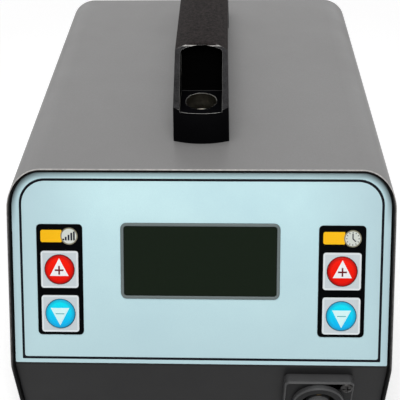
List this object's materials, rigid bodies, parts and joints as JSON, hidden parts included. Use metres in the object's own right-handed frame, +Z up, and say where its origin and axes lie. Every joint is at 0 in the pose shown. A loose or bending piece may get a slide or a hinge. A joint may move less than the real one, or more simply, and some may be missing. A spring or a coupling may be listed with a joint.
{
  "type": "induction heater",
  "caption": "Bench induction heater console: grey sheet cover, leaning control panel with display and push buttons, tool socket, bridge handle, rear fan and mains inlet.",
  "frame": {"origin": "middle of the footprint at the level the feet stand on", "axes": "+X to the right seen from the front, +Y from the front to the back, +Z up"},
  "size_m": [0.174, 0.233, 0.1663],
  "materials": {
    "cover_grey": "satin powder coat",
    "sheet_black": "satin powder coat",
    "overlay_blue": "satin print",
    "frame_grey": "matte",
    "window_dark": "gloss",
    "keypad_black": "matte",
    "bezel_pale": "matte",
    "button_red": "gloss",
    "button_blue": "gloss",
    "plastic_black": "matte moulded",
    "rubber_black": "matte",
    "zinc": "zinc plated",
    "contact_brass": "bright",
    "board_green": "satin",
    "sink_aluminium": "extruded",
    "component_black": "matte moulded",
    "film_yellow": "matte",
    "ferrite": "matte",
    "copper": "enamelled",
    "lead_sleeve": "satin",
    "fuse_glass": "clear"
  },
  "bodies": {
    "case": {"top_cover": "cover_grey", "base_pan": "sheet_black", "front_panel": "sheet_black", "rear_panel": "sheet_black", "cover_screws": "zinc", "rubber_feet": "rubber_black", "foot_screws": "zinc", "foot_nuts": "zinc", "panel_overlay": "overlay_blue", "display_bezel": "frame_grey", "display_window": "window_dark", "keypad_plates": "keypad_black", "button_bezels": "bezel_pale", "display_module": "component_black", "control_board": "board_green", "tact_switches": "component_black", "board_standoffs": "zinc", "board_nuts": "zinc", "socket_body": "plastic_black", "socket_insert": "plastic_black", "socket_contacts": "contact_brass", "socket_screws": "zinc", "handle": "plastic_black", "handle_screws": "zinc", "handle_nuts": "zinc", "fan_frame": "plastic_black", "fan_guard": "zinc", "fan_screws": "zinc", "inlet_body": "plastic_black", "inlet_pins": "zinc", "inlet_screws": "zinc", "switch_housing": "plastic_black", "switch_tabs": "zinc", "power_board": "board_green", "bulk_capacitors": "component_black", "resonant_capacitors": "film_yellow", "transformer_core": "ferrite", "transformer_winding": "copper", "mains_choke": "component_black", "inrush_relay": "component_black", "output_posts": "contact_brass", "mains_terminal": "component_black", "heatsink": "sink_aluminium", "power_transistors": "component_black", "bridge_rectifier": "component_black", "earth_stud": "zinc", "wiring_harness": "lead_sleeve", "panel_ribbon": "lead_sleeve"},
    "power_up": {"power_up_button": "button_red"},
    "power_down": {"power_down_button": "button_blue"},
    "time_up": {"time_up_button": "button_red"},
    "time_down": {"time_down_button": "button_blue"},
    "rocker": {"power_rocker": "plastic_black"},
    "rotor": {"fan_rotor": "plastic_black"},
    "drawer": {"fuse_drawer": "plastic_black", "mains_fuse": "fuse_glass"}
  },
  "joints": [
    {"name": "power_up_press", "type": "slide", "parent": "case", "child": "power_up", "axis": [0, 0.848, -0.5299], "range_m": [0, 0.0006], "stiffness_N_per_m": 1500, "springref_m": -0.0004},
    {"name": "power_down_press", "type": "slide", "parent": "case", "child": "power_down", "axis": [0, 0.848, -0.5299], "range_m": [0, 0.0006], "stiffness_N_per_m": 1500, "springref_m": -0.0004},
    {"name": "time_up_press", "type": "slide", "parent": "case", "child": "time_up", "axis": [0, 0.848, -0.5299], "range_m": [0, 0.0006], "stiffness_N_per_m": 1500, "springref_m": -0.0004},
    {"name": "time_down_press", "type": "slide", "parent": "case", "child": "time_down", "axis": [0, 0.848, -0.5299], "range_m": [0, 0.0006], "stiffness_N_per_m": 1500, "springref_m": -0.0004},
    {"name": "rocker_tilt", "type": "hinge", "parent": "case", "child": "rocker", "pos_m": [0.054, 0.11138, 0.047], "axis": [1, 0, 0], "range_deg": [0, 19]},
    {"name": "rotor_spin", "type": "hinge", "parent": "case", "child": "rotor", "pos_m": [-0.038, 0.11148, 0.06845], "axis": [0, 1, 0], "continuous": true},
    {"name": "drawer_slide", "type": "slide", "parent": "case", "child": "drawer", "axis": [0, 1, 0], "range_m": [0, 0.018]}
  ]
}
